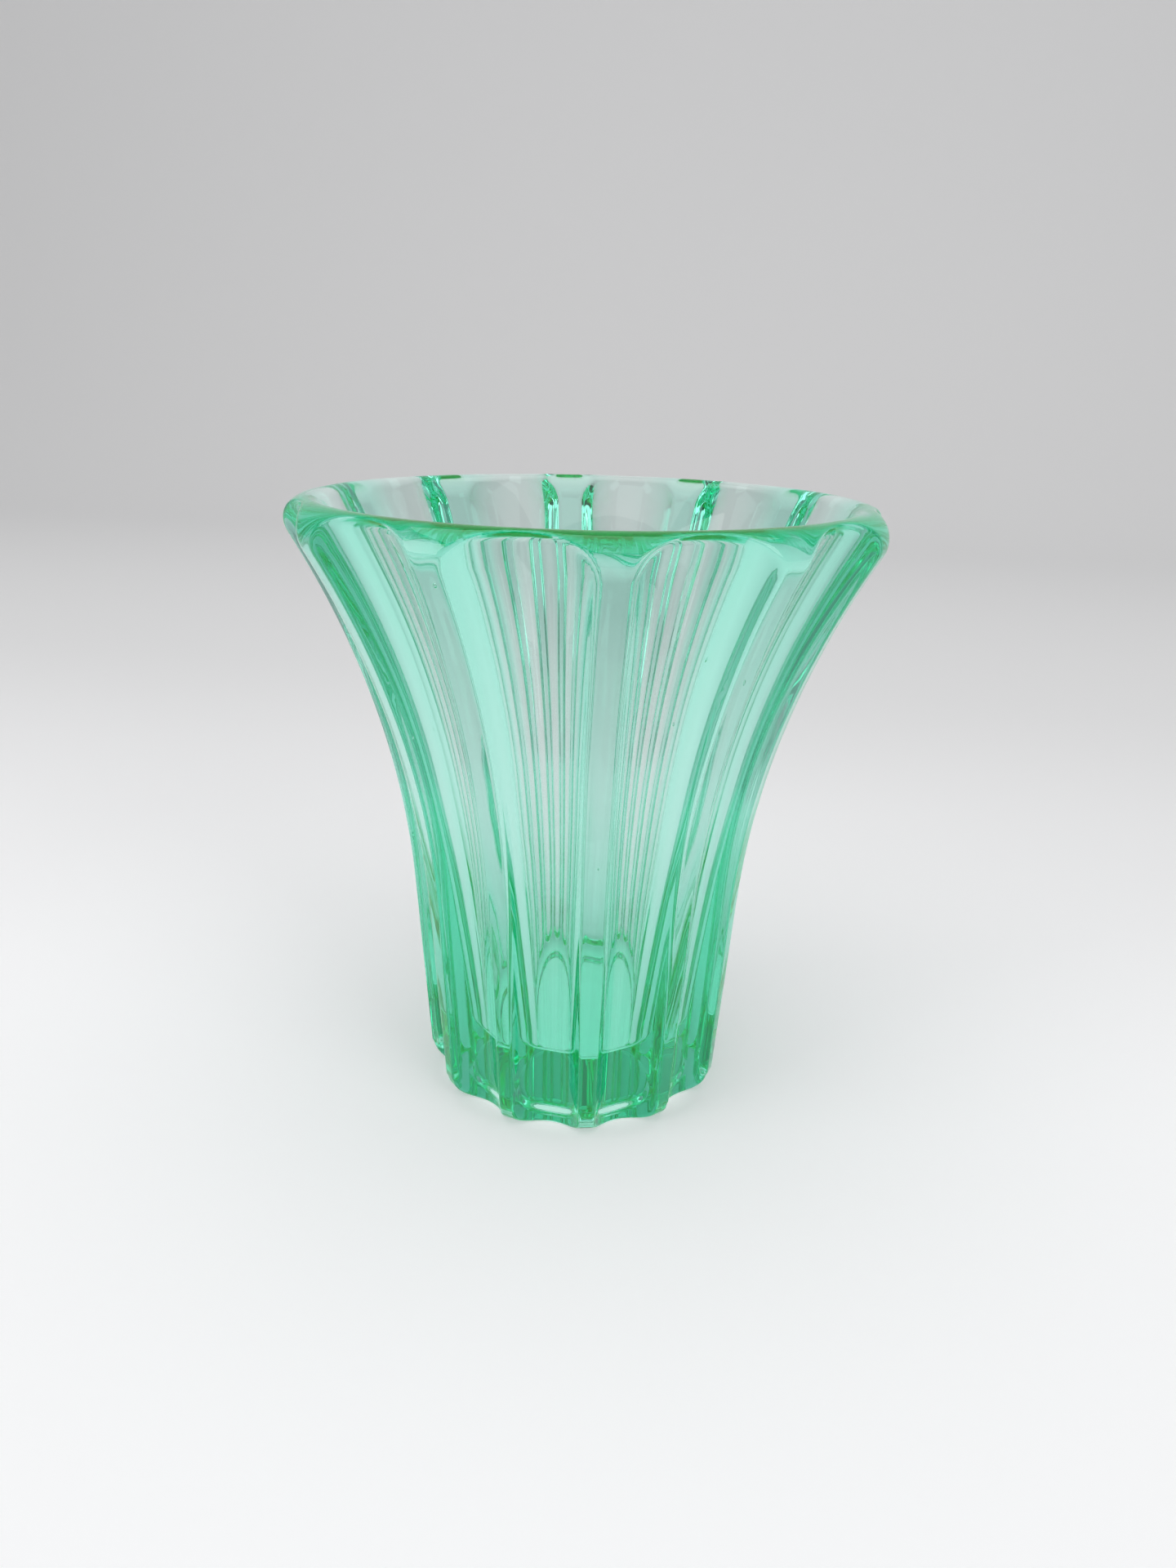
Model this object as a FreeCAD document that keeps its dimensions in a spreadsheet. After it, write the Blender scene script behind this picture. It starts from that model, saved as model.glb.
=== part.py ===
import FreeCAD, Part
import math
import os
import Sketcher

# Fan vase of pressed green glass, one piece: a smooth round cavity inside and twelve flutes
# outside, on a thick foot that is hollowed a little underneath.
# It stands on z = 0 with its axis on Z, and a flute faces the front (-Y). Sizes are in mm.

os.makedirs("parts", exist_ok=True)
doc = FreeCAD.newDocument("fan_vase")

SIZES = [
    ("vase_height", 170.0),          # from the table to the top of the lip
    ("foot_radius", 44.0),           # over the rib crowns, drawn down to the table
    ("foot_rounding", 6.5),          # lower end of each rib
    ("draft_angle", 3.9),            # lean of the lower wall, in degrees
    ("flare_height", 108.0),         # of the part where the crowns flare, up to the top
    ("flare_radius", 225.0),         # sweep of the crowns
    ("lip_height", 10.0),            # from where the crowns turn over into the lip to its top
    ("mouth_rounding", 4.1),         # of the lip's inner edge
    ("cavity_floor", 20.0),          # height of the floor inside
    ("cavity_angle", 11.3),          # lean of the lower cavity wall, in degrees
    ("cavity_flare_height", 73.0),   # of the part where it flares, up to the lip
    ("floor_rounding", 2.5),         # between the floor and the cavity wall
    ("flute_wall", 2.0),             # glass between a flute and the cavity, where that flares
    ("ring_width", 8.0),             # flat ring that the vase stands on
    ("recess_depth", 2.0),           # hollow under the foot, inside the ring
    ("recess_run", 2.5),             # width of the slope around that hollow
    ("flute_count", 12.0),
    ("flute_depth", 6.6),            # below the crowns, along the lower wall
    ("flute_rounding", 9.0),         # round bottom of a flute, seen from above
    ("flank_angle", 52.0),           # how far that round goes up each side, in degrees
    ("flute_lag", 6.0),              # how much higher than the crowns a flute begins to flare
    ("flute_flare_radius", 220.0),   # sweep of the flute's floor
    ("flute_reach", 14.0),           # how far out the hollow is cut, from its floor
    ("flute_overrun", 4.0),          # how far it is cut past the foot
    ("flute_turn", 40.0),            # how far it is swept, to well past the lip, in degrees
]

sheet = doc.addObject("Spreadsheet::Sheet", "Sizes")
sheet.Label = "Sizes"
for row, (alias, value) in enumerate(SIZES, start=1):
    sheet.set(f"A{row}", alias)
    sheet.set(f"B{row}", repr(value))
    sheet.setAlias(f"B{row}", alias)
doc.recompute()
size = {alias: float(sheet.get(alias)) for alias, value in SIZES}


def plane(body, role):
    """The origin plane of the body that has this role."""
    return next(part for part in body.Origin.OriginFeatures if part.Role == role)


def point(across, along):
    """A point of a sketch."""
    return FreeCAD.Vector(across, along, 0)


def swept_radius(start_radius, angle, start, sweep, height):
    """Radius of a wall that leans by the angle up to start, then flares on a circle."""
    lean = math.radians(angle)
    rise = max(0, height - start)
    flare = sweep * (math.cos(lean) - math.sqrt(1 - (math.sin(lean) + rise / sweep) ** 2))
    return start_radius - max(0, start - height) * math.tan(lean) + flare


def bind(sketch, name, kind, elements, value, text):
    """A named dimension of the sketch, driven by the sheet."""
    number = sketch.addConstraint(Sketcher.Constraint(kind, *elements, value))
    sketch.renameConstraint(number, name)
    sketch.solve()
    sketch.setExpression(f"Constraints.{name}", text)


body = doc.addObject("PartDesign::Body", "VaseBody")
body.Label = "vase_body"

# The plain vase: half of its section, turned about the axis.
top = size["vase_height"]
lean = math.radians(size["draft_angle"])
cavity_lean = math.radians(size["cavity_angle"])
flare_start = top - size["flare_height"]
flute_bend = flare_start + size["flute_lag"]
bend = top - size["cavity_flare_height"]
crown_start = size["foot_radius"] + flare_start * math.tan(lean)
flute_start = size["foot_radius"] - size["flute_depth"] + flute_bend * math.tan(lean)
cavity_start = swept_radius(flute_start, size["draft_angle"], flute_bend,
                            size["flute_flare_radius"], bend) - size["flute_wall"]
lip_start = top - size["lip_height"]


def crown(height):
    """Radius over the rib crowns."""
    return swept_radius(crown_start, size["draft_angle"], flare_start, size["flare_radius"],
                        height)


floor = size["cavity_floor"]
floor_arc = size["floor_rounding"]
foot_arc = size["foot_rounding"]
ring_end = size["foot_radius"] - foot_arc
ring_start = ring_end - size["ring_width"]
recess_edge = ring_start - size["recess_run"]
lip_lean = math.asin(math.sin(lean) + (lip_start - flare_start) / size["flare_radius"])
lip_arc = size["lip_height"] / (1 + math.sin(lip_lean))
lip_axis = crown(lip_start) - lip_arc * math.cos(lip_lean)

# The cavity's flare sets out along the lower cavity wall and ends on the lip's inner arc.
mouth_arc = size["mouth_rounding"]
mouth_centre = point(lip_axis, top - mouth_arc)
across = cavity_start - lip_axis
along = top - mouth_arc - bend
spare = mouth_arc + across * math.cos(cavity_lean) + along * math.sin(cavity_lean)
cavity_sweep = (mouth_arc ** 2 - across ** 2 - along ** 2) / (2 * spare)
sweep_centre = point(cavity_start + cavity_sweep * math.cos(cavity_lean),
                     bend - cavity_sweep * math.sin(cavity_lean))
inwards = (mouth_centre - sweep_centre).normalize()
mouth_end = mouth_centre + inwards * mouth_arc


def cavity(height):
    """Radius of the cavity."""
    return swept_radius(cavity_start, size["cavity_angle"], bend, cavity_sweep, height)


flare_middle = (flare_start + lip_start) / 2
diagonal = math.sqrt(1 / 2)

corners = [
    point(0, size["recess_depth"]),
    point(recess_edge, size["recess_depth"]),
    point(ring_start, 0),
    point(ring_end, 0),
    point(crown(foot_arc), foot_arc),
    point(crown_start, flare_start),
    point(crown(lip_start), lip_start),
    point(lip_axis, top),
    mouth_end,
    point(cavity_start, bend),
    point(cavity(floor + floor_arc), floor + floor_arc),
    point(cavity(floor) - floor_arc, floor),
    point(0, floor),
]
(RECESS, SLOPE, RING, FOOT_ARC, WALL_LINE, FLARE, LIP, MOUTH, CAVITY_FLARE, CAVITY_LINE,
 FLOOR_ARC, FLOOR, AXIS) = range(len(corners))
middles = {
    FOOT_ARC: point(size["foot_radius"] - foot_arc * (1 - diagonal), foot_arc * (1 - diagonal)),
    FLARE: point(crown(flare_middle), flare_middle),
    LIP: point(lip_axis + lip_arc * diagonal, top - lip_arc * (1 - diagonal)),
    MOUTH: mouth_centre + (inwards + point(0, 1)).normalize() * mouth_arc,
    CAVITY_FLARE: point(cavity((mouth_end.y + bend) / 2), (mouth_end.y + bend) / 2),
    FLOOR_ARC: point(cavity(floor) - floor_arc * (1 - diagonal), floor + floor_arc * (1 - diagonal)),
}
# An arc of a sketch runs counter-clockwise, so these two are drawn from their far end.
BACKWARDS = (FLARE, FLOOR_ARC)
first = [2 if edge in BACKWARDS else 1 for edge in range(len(corners))]
last = [1 if edge in BACKWARDS else 2 for edge in range(len(corners))]

section = body.newObject("Sketcher::SketchObject", "WallSection")
section.Label = "wall section"
section.AttachmentSupport = [(plane(body, "XZ_Plane"), "")]
section.MapMode = "FlatFace"
for edge, start in enumerate(corners):
    end = corners[(edge + 1) % len(corners)]
    if edge in BACKWARDS:
        section.addGeometry(Part.Arc(end, middles[edge], start), False)
    elif edge in middles:
        section.addGeometry(Part.Arc(start, middles[edge], end), False)
    else:
        section.addGeometry(Part.LineSegment(start, end), False)
for edge in range(len(corners)):
    following = (edge + 1) % len(corners)
    kind = "Tangent" if edge in middles or following in middles else "Coincident"
    section.addConstraint(Sketcher.Constraint(kind, edge, last[edge], following, first[following]))
section.addConstraint(Sketcher.Constraint("PointOnObject", AXIS, 1, -2))
section.addConstraint(Sketcher.Constraint("Vertical", AXIS))
for level in (RECESS, RING, FLOOR):
    section.addConstraint(Sketcher.Constraint("Horizontal", level))
section.addConstraint(Sketcher.Constraint("Vertical", LIP, 3, LIP, last[LIP]))
section.addConstraint(Sketcher.Constraint("PointOnObject", RING, 1, -1))
section.solve()

# The sketch's origin, as the first end of a distance, and what the sheet works out: the heights
# where the crowns, the flutes and the cavity begin to flare, and the flute's radii at two of them.
ORIGIN = (-1, 1)
CROWN_BEND = "(Sizes.vase_height - Sizes.flare_height)"
FLUTE_BEND = "(Sizes.vase_height - Sizes.flare_height + Sizes.flute_lag)"
CAVITY_BEND = "(Sizes.vase_height - Sizes.cavity_flare_height)"
FLUTE_START = f"Sizes.foot_radius - Sizes.flute_depth + {FLUTE_BEND} * tan(Sizes.draft_angle)"
FLUTE_RISE = f"max(0; {CAVITY_BEND} - {FLUTE_BEND}) / Sizes.flute_flare_radius"
FLUTE_FLARE = ("Sizes.flute_flare_radius * (cos(Sizes.draft_angle)"
               f" - sqrt(1 - (sin(Sizes.draft_angle) + {FLUTE_RISE}) ^ 2))")
bind(section, "recess_depth", "DistanceY", (*ORIGIN, RECESS, 1), size["recess_depth"],
     "Sizes.recess_depth")
bind(section, "recess_run", "DistanceX", (SLOPE, 1, SLOPE, 2), size["recess_run"],
     "Sizes.recess_run")
bind(section, "ring_width", "DistanceX", (RING, 1, RING, 2), size["ring_width"],
     "Sizes.ring_width")
bind(section, "foot_rounding", "Radius", (FOOT_ARC,), foot_arc, "Sizes.foot_rounding")
bind(section, "draft", "Angle", (WALL_LINE,), math.pi / 2 - lean,
     "(90 - Sizes.draft_angle) * 1 deg")
bind(section, "crown_start", "DistanceX", (*ORIGIN, WALL_LINE, 2), crown_start,
     f"Sizes.foot_radius + {CROWN_BEND} * tan(Sizes.draft_angle)")
bind(section, "crown_bend", "DistanceY", (*ORIGIN, WALL_LINE, 2), flare_start, CROWN_BEND)
bind(section, "flare_radius", "Radius", (FLARE,), size["flare_radius"], "Sizes.flare_radius")
bind(section, "lip_height", "DistanceY", (LIP, first[LIP], LIP, last[LIP]),
     size["lip_height"], "Sizes.lip_height")
bind(section, "vase_height", "DistanceY", (*ORIGIN, LIP, last[LIP]), top, "Sizes.vase_height")
bind(section, "mouth_rounding", "Radius", (MOUTH,), mouth_arc, "Sizes.mouth_rounding")
bind(section, "cavity_start", "DistanceX", (*ORIGIN, CAVITY_LINE, 1), cavity_start,
     f"{FLUTE_START} + {FLUTE_FLARE} - Sizes.flute_wall")
bind(section, "cavity_bend", "DistanceY", (*ORIGIN, CAVITY_LINE, 1), bend, CAVITY_BEND)
bind(section, "cavity_lean", "Angle", (CAVITY_LINE,), -math.pi / 2 - cavity_lean,
     "(-90 - Sizes.cavity_angle) * 1 deg")
bind(section, "floor_rounding", "Radius", (FLOOR_ARC,), floor_arc, "Sizes.floor_rounding")
bind(section, "cavity_floor", "DistanceY", (*ORIGIN, FLOOR, 2), floor, "Sizes.cavity_floor")
doc.recompute()

wall = body.newObject("PartDesign::Revolution", "Wall")
wall.Label = "turned wall"
wall.Profile = section
wall.ReferenceAxis = (section, ["V_Axis"])
wall.Angle = 360
doc.recompute()

# One flute: a round-bottomed hollow, cut straight down to the foot and swept out to the lip.
flank = math.radians(size["flank_angle"])
rounding = size["flute_rounding"]
reach = size["flute_reach"]
sweep = size["flute_flare_radius"]
edge_across = rounding * (1 - math.cos(flank))
edge_along = rounding * math.sin(flank)
reach_along = edge_along + (reach - edge_across) / math.tan(flank)

hollow = body.newObject("Sketcher::SketchObject", "FluteSection")
hollow.Label = "flute section"
hollow.AttachmentSupport = [(plane(body, "XY_Plane"), "")]
hollow.MapMode = "FlatFace"
lean_turn = FreeCAD.Rotation(FreeCAD.Vector(0, 1, 0), size["draft_angle"])
hollow.AttachmentOffset = FreeCAD.Placement(FreeCAD.Vector(), lean_turn)
hollow.setExpression("AttachmentOffset.Rotation.Angle", "Sizes.draft_angle * 1 deg")
hollow.setExpression("AttachmentOffset.Base.z", FLUTE_BEND)
hollow.setExpression("AttachmentOffset.Base.x", FLUTE_START)
BOTTOM, SIDE, BACK, OTHER_SIDE, PIVOT = range(5)
hollow.addGeometry([
    Part.Arc(point(edge_across, edge_along), point(0, 0), point(edge_across, -edge_along)),
    Part.LineSegment(point(edge_across, -edge_along), point(reach, -reach_along)),
    Part.LineSegment(point(reach, -reach_along), point(reach, reach_along)),
    Part.LineSegment(point(reach, reach_along), point(edge_across, edge_along))], False)
hollow.addGeometry(Part.LineSegment(point(sweep, -rounding), point(sweep, rounding)), True)
hollow.addConstraint(Sketcher.Constraint("Tangent", BOTTOM, 2, SIDE, 1))
hollow.addConstraint(Sketcher.Constraint("Coincident", SIDE, 2, BACK, 1))
hollow.addConstraint(Sketcher.Constraint("Coincident", BACK, 2, OTHER_SIDE, 1))
hollow.addConstraint(Sketcher.Constraint("Tangent", OTHER_SIDE, 2, BOTTOM, 1))
hollow.addConstraint(Sketcher.Constraint("Vertical", BACK))
hollow.addConstraint(Sketcher.Constraint("PointOnObject", BOTTOM, 3, -1))
hollow.addConstraint(Sketcher.Constraint("Vertical", BOTTOM, 1, BOTTOM, 2))
hollow.addConstraint(Sketcher.Constraint("Symmetric", PIVOT, 1, PIVOT, 2, -1))
bind(hollow, "rounding", "Radius", (BOTTOM,), rounding, "Sizes.flute_rounding")
bind(hollow, "centre", "DistanceX", (*ORIGIN, BOTTOM, 3), rounding, "Sizes.flute_rounding")
bind(hollow, "reach", "DistanceX", (*ORIGIN, BACK, 1), reach, "Sizes.flute_reach")
bind(hollow, "flank", "Angle", (OTHER_SIDE,), -math.pi / 2 - flank,
     "(-90 - Sizes.flank_angle) * 1 deg")
bind(hollow, "sweep", "DistanceX", (*ORIGIN, PIVOT, 1), sweep, "Sizes.flute_flare_radius")
bind(hollow, "pivot_length", "DistanceY", (PIVOT, 1, PIVOT, 2), 2 * rounding,
     "2 * Sizes.flute_rounding")
doc.recompute()

straight = body.newObject("PartDesign::Pocket", "StraightFlute")
straight.Label = "straight flute"
straight.Profile = hollow
straight.Type = "Length"
straight.setExpression("Length", f"{FLUTE_BEND} / cos(Sizes.draft_angle) + Sizes.flute_overrun")
doc.recompute()
swept = body.newObject("PartDesign::Groove", "SweptFlute")
swept.Label = "swept flute"
swept.Profile = hollow
swept.ReferenceAxis = (hollow, ["Axis0"])
swept.setExpression("Angle", "Sizes.flute_turn * 1 deg")
doc.recompute()

flutes = body.newObject("PartDesign::PolarPattern", "Flutes")
flutes.Label = "flutes"
flutes.Originals = [straight, swept]
flutes.Axis = (section, ["V_Axis"])
flutes.Angle = 360
flutes.setExpression("Occurrences", "Sizes.flute_count")
body.Tip = flutes
doc.recompute()

for item in doc.Objects:
    if "Invalid" in item.State or "Error" in item.State:
        raise RuntimeError(f"{item.Name} is {item.State}")
for sketch in (section, hollow):
    if not sketch.FullyConstrained:
        raise RuntimeError(f"{sketch.Name} is not fully constrained")
shape = body.Shape
if shape.isNull() or not shape.isValid() or len(shape.Solids) != 1:
    raise RuntimeError("the vase is not one valid solid")
if not flutes.Shape.Volume < swept.Shape.Volume < straight.Shape.Volume < wall.Shape.Volume:
    raise RuntimeError("a flute cuts nothing")
shape.exportStep(f"parts/{body.Label}.step")
print(f"{body.Label}: {shape.Volume:.0f} mm3, {len(shape.Faces)} faces")
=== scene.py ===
import math

import bpy
import numpy as np
from mathutils import Matrix, Vector


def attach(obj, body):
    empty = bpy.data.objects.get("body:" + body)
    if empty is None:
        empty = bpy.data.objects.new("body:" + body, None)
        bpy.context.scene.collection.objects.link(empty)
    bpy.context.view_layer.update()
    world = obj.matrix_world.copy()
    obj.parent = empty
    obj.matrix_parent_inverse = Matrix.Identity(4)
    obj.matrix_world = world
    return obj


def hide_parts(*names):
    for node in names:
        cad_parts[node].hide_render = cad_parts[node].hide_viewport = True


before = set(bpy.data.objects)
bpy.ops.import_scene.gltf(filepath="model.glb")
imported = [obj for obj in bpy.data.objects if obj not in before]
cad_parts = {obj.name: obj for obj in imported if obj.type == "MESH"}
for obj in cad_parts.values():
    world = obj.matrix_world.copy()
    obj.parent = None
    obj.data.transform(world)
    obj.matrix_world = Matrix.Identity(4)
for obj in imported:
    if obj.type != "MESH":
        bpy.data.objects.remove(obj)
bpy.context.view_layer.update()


# The vase itself: one piece of clear green glass, pressed in a mould and fire polished. Its inside
# is smooth and round, and twelve flutes are pressed into the outside, with a rib between each two.
# Lengths are in millimetres up to the last line of a mesh, which turns them into metres.
MM = 0.001
HEIGHT = 170.0
FLUTES = 12
HALF_PITCH = math.pi / FLUTES

# The outline over the rib crowns, from the table up.
FOOT_RADIUS, FOOT_ROUNDING, DRAFT = 44.0, 6.5, math.radians(3.9)
FLARE_START, FLARE_RADIUS, LIP_START = 62.0, 225.0, 160.0
# The floor of a flute, drawn down to the table: its lean is that of the crowns.
FLUTE_DEPTH, FLUTE_FLARE_START, FLUTE_FLARE_RADIUS = 6.6, 68.0, 220.0
# The crown of a rib between two flutes, at the foot and at the lip.
RIB_WIDTHS = 3.6, 9.5
# How softly a rib's edges are rounded, and how softly a flute runs out at its ends.
EDGE_SOFTNESS, FLUTE_FADE = 0.8, 0.6
# The cavity, the lip's inner edge and the hollow under the foot.
CAVITY_FLOOR, CAVITY_LEAN, FLOOR_ROUNDING = 20.0, math.radians(11.3), 2.5
CAVITY_FLARE_START, FLUTE_WALL, MOUTH_ROUNDING = 97.0, 2.0, 4.1
RECESS_DEPTH, RECESS_RADIUS, RECESS_RUN = 2.0, 27.0, 2.5
# Fire polish leaves the pressed walls a little wavy: the depth of it outside and inside.
OUTER_WAVES, INNER_WAVES = 0.05, 0.04
# Each wave: how often it goes round the vase, its height, and its shift.
WAVES = ((5, 19, 0.3), (11, -31, 1.9), (23, 43, 4.1), (8, -67, 2.6), (31, 13, 5.2), (17, 89, 0.9))

FLUTE_COLUMNS, FOOT_ROWS, WALL_ROWS, LIP_ROWS, MOUTH_ROWS, CAVITY_ROWS = 50, 12, 50, 18, 9, 38
LEVEL_ROWS, ROUNDING_ROWS, RING_ROWS = 8, 7, 4
# The rows of both level faces end here, and a point on the axis closes them.
INNERMOST = 1.0


def swept(start_radius, lean, start, sweep, z):
    """Radius of a wall that leans from the foot up to start, then flares outwards on a circle."""
    rise = np.maximum(0, z - start)
    flare = sweep * (math.cos(lean) - np.sqrt(1 - (math.sin(lean) + rise / sweep) ** 2))
    return start_radius - np.maximum(0, start - z) * math.tan(lean) + flare


def ease(share):
    """A share from 0 to 1, with a level start and end."""
    share = np.clip(share, 0, 1)
    return share * share * (3 - 2 * share)


def waves(angle, z):
    """Slight unevenness from 0 to 1: the mean of slow sine waves that cross each other."""
    total = np.zeros((len(z), len(angle)))
    for around, along, shift in WAVES:
        total += np.sin(around * angle[None, :] + z[:, None] / along * 2 * math.pi + shift)
    return 0.5 + total / 2 / len(WAVES)


crown_start = FOOT_RADIUS + FLARE_START * math.tan(DRAFT)
flute_start = FOOT_RADIUS + FLUTE_FLARE_START * math.tan(DRAFT) - FLUTE_DEPTH
lip_lean = math.asin(math.sin(DRAFT) + (LIP_START - FLARE_START) / FLARE_RADIUS)
lip_arc = (HEIGHT - LIP_START) / (1 + math.sin(lip_lean))
lip_axis = float(swept(crown_start, DRAFT, FLARE_START, FLARE_RADIUS, LIP_START)) \
    - lip_arc * math.cos(lip_lean)

# The cavity's flare sets out along the lower cavity wall and ends on the lip's inner arc.
cavity_start = float(swept(flute_start, DRAFT, FLUTE_FLARE_START, FLUTE_FLARE_RADIUS,
                           CAVITY_FLARE_START)) - FLUTE_WALL
mouth_z = HEIGHT - MOUTH_ROUNDING
across, along = cavity_start - lip_axis, mouth_z - CAVITY_FLARE_START
cavity_sweep = (MOUTH_ROUNDING ** 2 - across ** 2 - along ** 2) / 2 / (
    MOUTH_ROUNDING + across * math.cos(CAVITY_LEAN) + along * math.sin(CAVITY_LEAN))
mouth_lean = math.asin((along + cavity_sweep * math.sin(CAVITY_LEAN))
                       / (cavity_sweep - MOUTH_ROUNDING))


def cavity_radius(z):
    """Radius of the cavity at a height."""
    return swept(cavity_start, CAVITY_LEAN, CAVITY_FLARE_START, cavity_sweep, z)


def wall_rows():
    """Heights, radii over the crowns and depths of the flutes, from the ring to the lip."""
    foot = np.radians(np.linspace(-90, 0, FOOT_ROWS, endpoint=False))
    foot_z = FOOT_ROUNDING * (1 + np.sin(foot))
    foot_r = FOOT_RADIUS - FOOT_ROUNDING * (1 - np.cos(foot))
    wall_z = np.linspace(FOOT_ROUNDING, LIP_START, WALL_ROWS, endpoint=False)
    wall_r = swept(crown_start, DRAFT, FLARE_START, FLARE_RADIUS, wall_z)
    turn = np.linspace(-lip_lean, math.pi / 2, LIP_ROWS)
    lip_z = HEIGHT - lip_arc * (1 - np.sin(turn))
    lip_r = lip_axis + lip_arc * np.cos(turn)
    z = np.concatenate([foot_z, wall_z, lip_z])
    crown = np.concatenate([foot_r, wall_r, lip_r])
    depth = crown - swept(flute_start, DRAFT, FLUTE_FLARE_START, FLUTE_FLARE_RADIUS, z)
    depth = (depth + np.sqrt(depth ** 2 + FLUTE_FADE ** 2)) / 2
    return z, crown, depth


def fluted(z, crown, depth, angle):
    """Radius of the outer wall. Across a flute the wall is an arc, from rib to rib through the
    flute's floor, and where the arc would pass the crown it bends over into the rib."""
    level = np.clip(z, 0, LIP_START)
    rib = RIB_WIDTHS[0] + (RIB_WIDTHS[1] - RIB_WIDTHS[0]) * level / LIP_START
    half = swept(crown_start, DRAFT, FLARE_START, FLARE_RADIUS, level) * HALF_PITCH - rib / 2
    rounding = ((half ** 2 + FLUTE_DEPTH ** 2) / 2 / FLUTE_DEPTH)[:, None]
    crown, depth = crown[:, None], depth[:, None]
    around = (angle + HALF_PITCH) % (2 * HALF_PITCH) - HALF_PITCH
    centre = crown - depth + rounding
    beside = np.minimum(np.abs(centre * np.sin(around)), rounding)
    arc = centre * np.cos(around) - np.sqrt(rounding ** 2 - beside ** 2)
    hollow = crown - arc
    return crown - (hollow + np.sqrt(hollow ** 2 + EDGE_SOFTNESS ** 2)) / 2


def shell(angle, radius, z):
    """Vertices and faces of rows round the axis, closed by a point on the axis at both ends."""
    rows, columns = radius.shape
    points = np.stack([radius * np.cos(angle), radius * np.sin(angle),
                       z[:, None] * np.ones(columns)], -1)
    vertices = np.concatenate([points.reshape(-1, 3), [[0, 0, z[0]], [0, 0, z[-1]]]])
    column = np.arange(columns)
    following = (column + 1) % columns
    base = (np.arange(rows - 1) * columns)[:, None]
    quads = np.stack([base + column, base + following, base + columns + following,
                      base + columns + column], -1).reshape(-1, 4)
    first, last = len(vertices) - 2, (rows - 1) * columns
    bottom = np.stack([np.full(columns, first), following, column], -1)
    top = np.stack([np.full(columns, first + 1), last + column, last + following], -1)
    return vertices, quads.tolist() + bottom.tolist() + top.tolist()


def vase_surface():
    """Angles, radii and heights of the whole surface, from under the foot to the cavity's floor."""
    columns = FLUTES * FLUTE_COLUMNS
    angle = np.arange(columns) * 2 * math.pi / columns
    z, crown, depth = wall_rows()
    outside = fluted(z, crown, depth, angle) - OUTER_WAVES * waves(angle, z)

    ring_start = RECESS_RADIUS + RECESS_RUN
    slope = np.linspace(0, 1, ROUNDING_ROWS)[1:]
    under_r = np.concatenate([np.linspace(INNERMOST, RECESS_RADIUS, LEVEL_ROWS),
                              RECESS_RADIUS + RECESS_RUN * slope])
    under_z = np.concatenate([np.full(LEVEL_ROWS, RECESS_DEPTH), RECESS_DEPTH * (1 - ease(slope))])
    flat = np.linspace(0, 1, RING_ROWS, endpoint=False)[1:]
    ring_r = ring_start + (outside[0] - ring_start) * flat[:, None]

    turn = np.linspace(math.pi / 2, math.pi - mouth_lean, MOUTH_ROWS)[1:]
    edge_r = lip_axis + MOUTH_ROUNDING * np.cos(turn)
    edge_z = mouth_z + MOUTH_ROUNDING * np.sin(turn)
    cavity_z = np.linspace(edge_z[-1], CAVITY_FLOOR + FLOOR_ROUNDING, CAVITY_ROWS)[1:]
    turn = np.radians(np.linspace(0, 90, ROUNDING_ROWS))[1:]
    corner = float(cavity_radius(CAVITY_FLOOR + FLOOR_ROUNDING)) - FLOOR_ROUNDING
    corner_r = corner + FLOOR_ROUNDING * np.cos(turn)
    corner_z = CAVITY_FLOOR + FLOOR_ROUNDING * (1 - np.sin(turn))
    floor_r = np.linspace(corner, INNERMOST, LEVEL_ROWS)[1:]
    inside_r = np.concatenate([edge_r, cavity_radius(cavity_z), corner_r, floor_r])
    inside_z = np.concatenate([edge_z, cavity_z, corner_z, np.full(len(floor_r), CAVITY_FLOOR)])
    inside = inside_r[:, None] - INNER_WAVES * waves(angle + 1, inside_z) * np.minimum(
        1, inside_r / cavity_start)[:, None]

    under = under_r[:, None] * np.ones(columns)
    radii = np.concatenate([under, ring_r, outside, inside])
    heights = np.concatenate([under_z, np.zeros(len(flat)), z, inside_z])
    return angle, radii, heights


BUBBLE_LEVELS, BUBBLE_COLUMNS, BUBBLE_END = 9, 14, 75


def seed_bubble(azimuth, z, share, width, length):
    """Vertices and faces of a small hollow in the wall, drawn out upwards: its faces look into the
    hollow. The share says where it lies between the cavity and the outer wall."""
    crown = swept(crown_start, DRAFT, FLARE_START, FLARE_RADIUS, np.array([z]))
    depth = crown - swept(flute_start, DRAFT, FLUTE_FLARE_START, FLUTE_FLARE_RADIUS, z)
    turn = np.radians(azimuth - 90)
    outside = fluted(np.array([z]), crown, depth, np.array([turn]))[0, 0]
    inside = float(cavity_radius(z))
    place = inside + (outside - inside) * share
    level = np.radians(np.linspace(-BUBBLE_END, BUBBLE_END, BUBBLE_LEVELS))
    angle = np.arange(BUBBLE_COLUMNS) * 2 * math.pi / BUBBLE_COLUMNS
    vertices, faces = shell(angle, width / 2 * np.cos(level)[:, None] * np.ones(BUBBLE_COLUMNS),
                            length / 2 * np.sin(level))
    return vertices + [place * math.cos(turn), place * math.sin(turn), z], \
        [face[::-1] for face in faces]


def glass_mesh(name, parts):
    """One smooth mesh of several closed surfaces."""
    vertices, faces = [], []
    for points, sides in parts:
        faces += [[corner + len(vertices) for corner in side] for side in sides]
        vertices += (points * MM).tolist()
    mesh = bpy.data.meshes.new(name)
    mesh.from_pydata(vertices, [], faces)
    mesh.polygons.foreach_set("use_smooth", np.ones(len(mesh.polygons), bool))
    mesh.update()
    piece = bpy.data.objects.new(name, mesh)
    bpy.context.collection.objects.link(piece)
    return piece


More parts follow.
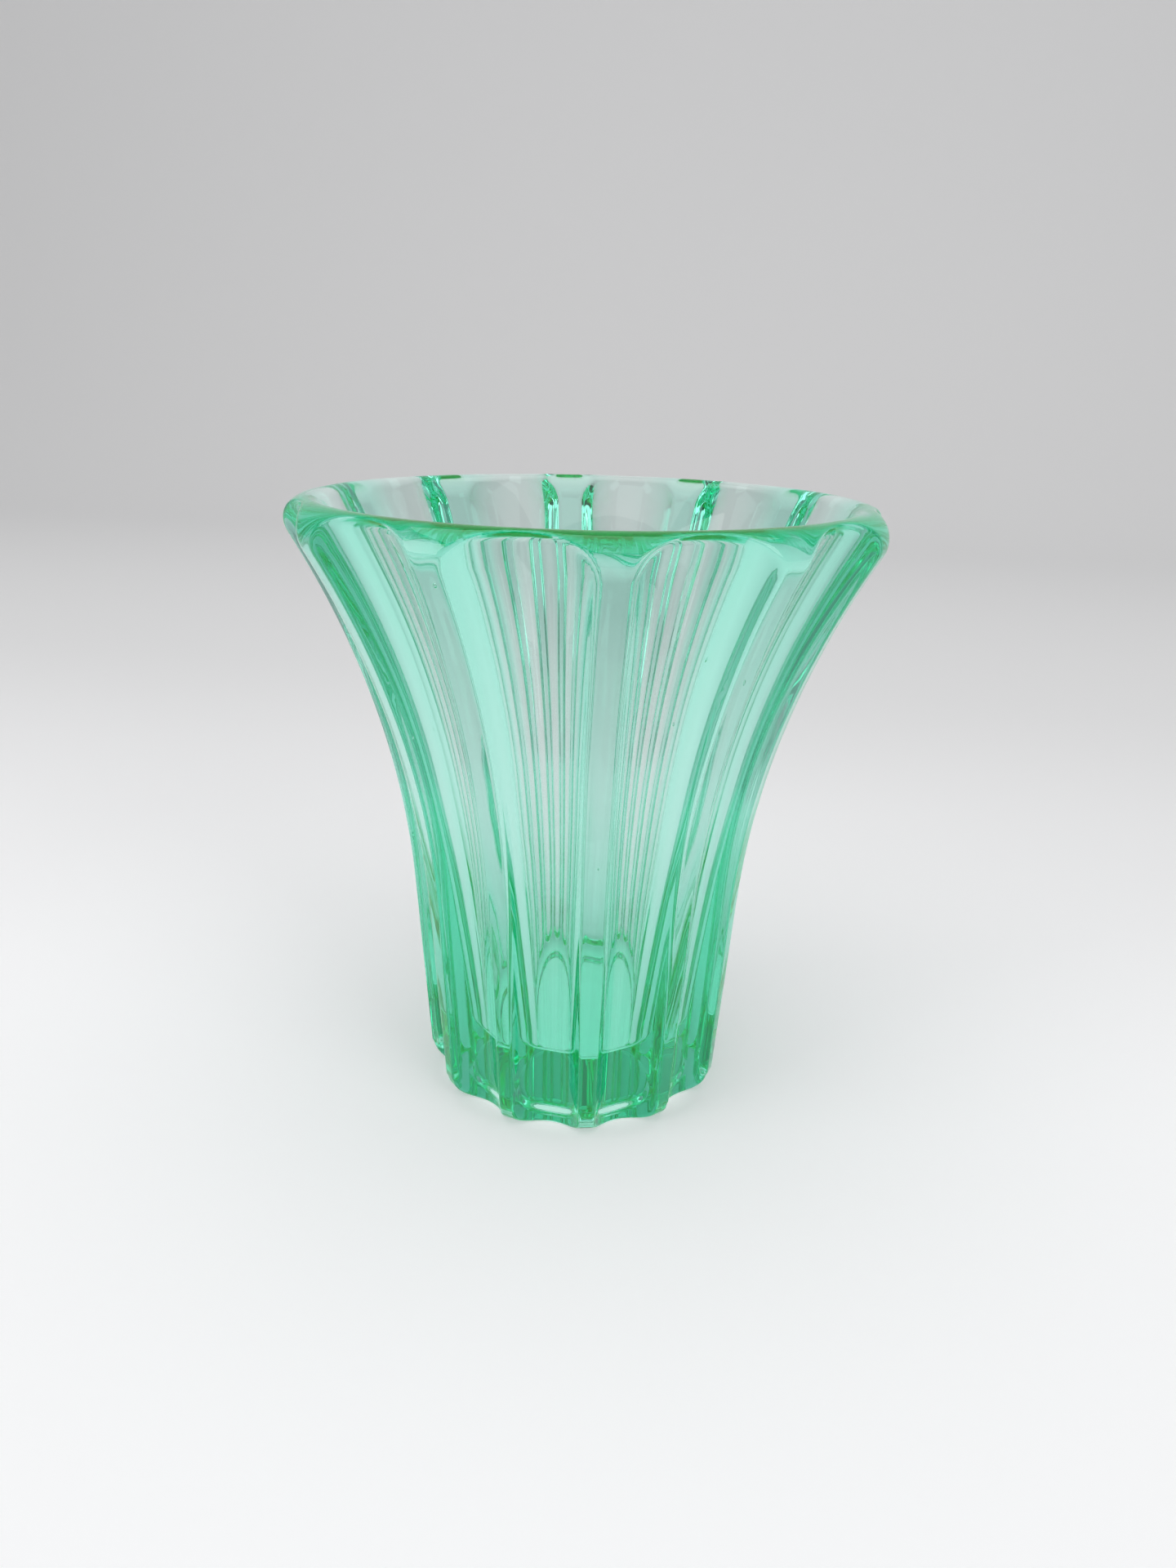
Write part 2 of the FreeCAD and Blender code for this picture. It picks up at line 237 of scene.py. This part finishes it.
# Small bubbles in the glass: azimuth from the front, height, share of the wall, width, length.
SEEDS = ((-15.5, 158.0, 0.6, 0.9, 1.3), (46.5, 134.0, 0.7, 0.7, 1.6), (35.0, 122.0, 0.5, 0.5, 1.2),
         (16.0, 84.0, 0.6, 0.4, 0.8), (-46.0, 112.0, 0.5, 0.4, 1.0), (164.0, 140.0, 0.6, 0.7, 1.5),
         (105.0, 60.0, 0.6, 0.5, 1.0), (-134.0, 92.0, 0.5, 0.6, 1.4))


def green_glass():
    """Clear glass: a surface that holds back a little light, without colour, and a green that
    deepens with the thickness of the glass."""
    material = bpy.data.materials.new("green_glass")
    material.use_nodes = True
    nodes, links = material.node_tree.nodes, material.node_tree.links
    surface = nodes["Principled BSDF"]
    surface.inputs["Base Color"].default_value = (0.955, 0.955, 0.955, 1)
    surface.inputs["Roughness"].default_value = 0.0
    surface.inputs["IOR"].default_value = 1.52
    surface.inputs["Transmission Weight"].default_value = 1.0
    absorption = nodes.new("ShaderNodeVolumeAbsorption")
    absorption.inputs["Color"].default_value = (0.0, 0.905, 0.70, 1)
    absorption.inputs["Density"].default_value = 42.0
    links.new(absorption.outputs["Volume"], nodes["Material Output"].inputs["Volume"])
    return material


vase = glass_mesh("vase_glass", [shell(*vase_surface())] + [seed_bubble(*seed) for seed in SEEDS])
vase.data.materials.append(green_glass())
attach(vase, "root")
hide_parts("vase_body")


# The white table and the wall behind it, one matt sweep, from here on in metres.
FLOOR_GAP = 0.0004
# The far paper's greyer colour is a painted shade, for the paper away from the lamps.
NEAR_PAPER, FAR_PAPER_PAINTED_SHADE = (0.80, 0.80, 0.81, 1), (0.66, 0.66, 0.665, 1)
PAINTED_SHADE_FADE = -0.05, 0.5
# How far the paper's look is lifted, elsewhere and under the foot, where the extra is a painted
# # pool of light, and where the one turns into the other.
LIFT, FOOT_PAINTED_LIGHT, PAINTED_LIGHT_EDGE = 0.30, 0.80, (0.030, 0.044)


def sweep_floor():
    """A floor that turns up into a backdrop on a wide arc."""
    width, front, corner, back, top = 3.0, -2.5, 1.2, 0.8, 3.2
    turn = np.radians(np.linspace(0, 90, 25))
    y = np.concatenate([[front], corner + back * np.sin(turn), [corner + back]])
    z = np.concatenate([[0], back * (1 - np.cos(turn)), [top]]) - FLOOR_GAP
    vertices = [(x, yy, zz) for yy, zz in zip(y, z) for x in (-width, width)]
    faces = [(2 * i, 2 * i + 1, 2 * i + 3, 2 * i + 2) for i in range(len(y) - 1)]
    mesh = bpy.data.meshes.new("table")
    mesh.from_pydata(vertices, [], faces)
    mesh.polygons.foreach_set("use_smooth", np.ones(len(faces), bool))
    mesh.update()
    return bpy.data.objects.new("table", mesh)


table = sweep_floor()
bpy.context.collection.objects.link(table)


def white_paper():
    """Matt paper, white in front and painted a little greyer away from the lamps: a painted shade.
    It looks paler to the camera and through the glass than the light on it makes it, and most of all
    under the foot: a painted pool of light, for the light that the glass pipes down."""
    material = bpy.data.materials.new("white_table")
    material.use_nodes = True
    nodes, links = material.node_tree.nodes, material.node_tree.links
    place = nodes.new("ShaderNodeTexCoord")
    parts = nodes.new("ShaderNodeSeparateXYZ")
    away = nodes.new("ShaderNodeMapRange")
    away.interpolation_type = "SMOOTHSTEP"
    away.inputs["From Min"].default_value, away.inputs["From Max"].default_value = PAINTED_SHADE_FADE
    paper_with_painted_shade = nodes.new("ShaderNodeMix")
    paper_with_painted_shade.data_type = "RGBA"
    paper_with_painted_shade.inputs["A"].default_value, paper_with_painted_shade.inputs["B"].default_value = NEAR_PAPER, FAR_PAPER_PAINTED_SHADE
    links.new(place.outputs["Object"], parts.inputs["Vector"])
    links.new(parts.outputs["Y"], away.inputs["Value"])
    links.new(away.outputs["Result"], paper_with_painted_shade.inputs["Factor"])
    paper = nodes["Principled BSDF"]
    links.new(paper_with_painted_shade.outputs["Result"], paper.inputs["Base Color"])
    paper.inputs["Roughness"].default_value = 0.9
    paper.inputs["Specular IOR Level"].default_value = 0.1
    rays = nodes.new("ShaderNodeLightPath")
    seen = rays.outputs["Is Camera Ray"]
    for kind in ("Is Glossy Ray", "Is Transmission Ray"):
        either = nodes.new("ShaderNodeMath")
        either.operation = "MAXIMUM"
        links.new(seen, either.inputs[0])
        links.new(rays.outputs[kind], either.inputs[1])
        seen = either.outputs["Value"]
    reach = nodes.new("ShaderNodeVectorMath")
    reach.operation = "LENGTH"
    # The paper under the foot is made paler still: a painted pool of light, for the light that the
    # glass pipes down.
    painted_light_pool = nodes.new("ShaderNodeMapRange")
    painted_light_pool.interpolation_type = "SMOOTHSTEP"
    for limit, value in (("From Min", PAINTED_LIGHT_EDGE[0]), ("From Max", PAINTED_LIGHT_EDGE[1]),
                         ("To Min", FOOT_PAINTED_LIGHT), ("To Max", LIFT)):
        painted_light_pool.inputs[limit].default_value = value
    lift_and_painted_light = nodes.new("ShaderNodeMath")
    lift_and_painted_light.operation = "MULTIPLY"
    links.new(place.outputs["Object"], reach.inputs[0])
    links.new(reach.outputs["Value"], painted_light_pool.inputs["Value"])
    links.new(painted_light_pool.outputs["Result"], lift_and_painted_light.inputs[1])
    links.new(seen, lift_and_painted_light.inputs[0])
    links.new(paper_with_painted_shade.outputs["Result"], paper.inputs["Emission Color"])
    links.new(lift_and_painted_light.outputs["Value"], paper.inputs["Emission Strength"])
    return material


table.data.materials.append(white_paper())


# Soft studio light: a pale room, one wide lamp overhead, one at each side in front, and a dark
# # green card behind the camera, which takes very little of the room's light off the glass. The card
# # gives off that dark green though it is no lamp, and only the glass sees it: a painted reflection.
ROOM_LIGHT, CARD_PAINTED_REFLECTION = 0.32, (0.01, 0.08, 0.055, 1)
LAMPS = (("overhead", 2.0, 13.4, (0, -0.2, 1.5)), ("left_lamp", 1.2, 7.6, (-1.5, -1.1, 0.9)),
         ("right_lamp", 1.2, 8.6, (1.5, -1.1, 0.9)))
world = bpy.data.worlds.new("room")
world.use_nodes = True
world.node_tree.nodes["Background"].inputs["Color"].default_value = (1, 1, 1, 1)
world.node_tree.nodes["Background"].inputs["Strength"].default_value = ROOM_LIGHT
bpy.context.scene.world = world


def soft_lamp(name, size, energy, location):
    """A square lamp that shines from a place towards the foot of the vase."""
    lamp = bpy.data.lights.new(name, "AREA")
    lamp.shape, lamp.size, lamp.energy = "SQUARE", size, energy
    piece = bpy.data.objects.new(name, lamp)
    piece.location = location
    piece.rotation_euler = (-piece.location).to_track_quat("-Z", "Y").to_euler()
    bpy.context.collection.objects.link(piece)


for lamp in LAMPS:
    soft_lamp(*lamp)


def painted_reflection_card(half_width, away, height):
    """An upright card behind the camera. Only the glass shows it: the camera and the paper don't. It
    gives off a dark green though it is no lamp: a painted reflection in the glass.
    """
    mesh = bpy.data.meshes.new("painted_reflection_card")
    mesh.from_pydata([(-half_width, away, 0), (half_width, away, 0), (half_width, away, height),
                      (-half_width, away, height)], [], [(0, 1, 2, 3)])
    mesh.update()
    painted_reflection = bpy.data.materials.new("painted_reflection_card")
    painted_reflection.use_nodes = True
    surface = painted_reflection.node_tree.nodes["Principled BSDF"]
    surface.inputs["Base Color"].default_value = (0, 0, 0, 1)
    surface.inputs["Specular IOR Level"].default_value = 0.0
    # A dark green given off though the card is no lamp: a painted reflection in the glass's dark
    # lines.
    surface.inputs["Emission Color"].default_value = CARD_PAINTED_REFLECTION
    surface.inputs["Emission Strength"].default_value = 1.0
    mesh.materials.append(painted_reflection)
    card = bpy.data.objects.new("painted_reflection_card", mesh)
    card.visible_camera = card.visible_diffuse = card.visible_shadow = False
    return card


card = painted_reflection_card(0.8, -1.0, 1.1)
bpy.context.collection.objects.link(card)


# The camera of the photo: 31 cm from the axis, 20 cm up, looking down by 20 degrees.
def photo_camera():
    """The camera fitted to the photo's outline, turned round the vase to face the same ribs."""
    distance, height, around = 0.3079, 0.1988, math.radians(10.33)
    pitch, yaw, roll = math.radians(19.61), math.radians(0.36), 0.0255
    data = bpy.data.cameras.new("photo")
    data.sensor_fit, data.sensor_width, data.lens = "AUTO", 36.0, 25.99
    ahead = Vector((math.sin(yaw) * math.cos(pitch), math.cos(yaw) * math.cos(pitch),
                    -math.sin(pitch)))
    right = Vector((math.cos(yaw), -math.sin(yaw), 0))
    upward = right.cross(ahead)
    tilted = Matrix((math.cos(roll) * right + math.sin(roll) * upward,
                     math.cos(roll) * upward - math.sin(roll) * right, -ahead)).transposed()
    camera = bpy.data.objects.new("photo", data)
    camera.matrix_world = (Matrix.Rotation(around, 4, "Z")
                           @ Matrix.Translation((0, -distance, height)) @ tilted.to_4x4())
    return camera


camera = photo_camera()
bpy.context.collection.objects.link(camera)
bpy.context.scene.camera = camera
bpy.context.scene.view_settings.view_transform = "Standard"

# Light runs up and down inside the wall, and the lip and the ribs' edges go black without enough
# reflections.
REFLECTIONS = 40
light_paths = bpy.context.scene.cycles
light_paths.max_bounces = light_paths.glossy_bounces = REFLECTIONS
light_paths.transmission_bounces = REFLECTIONS
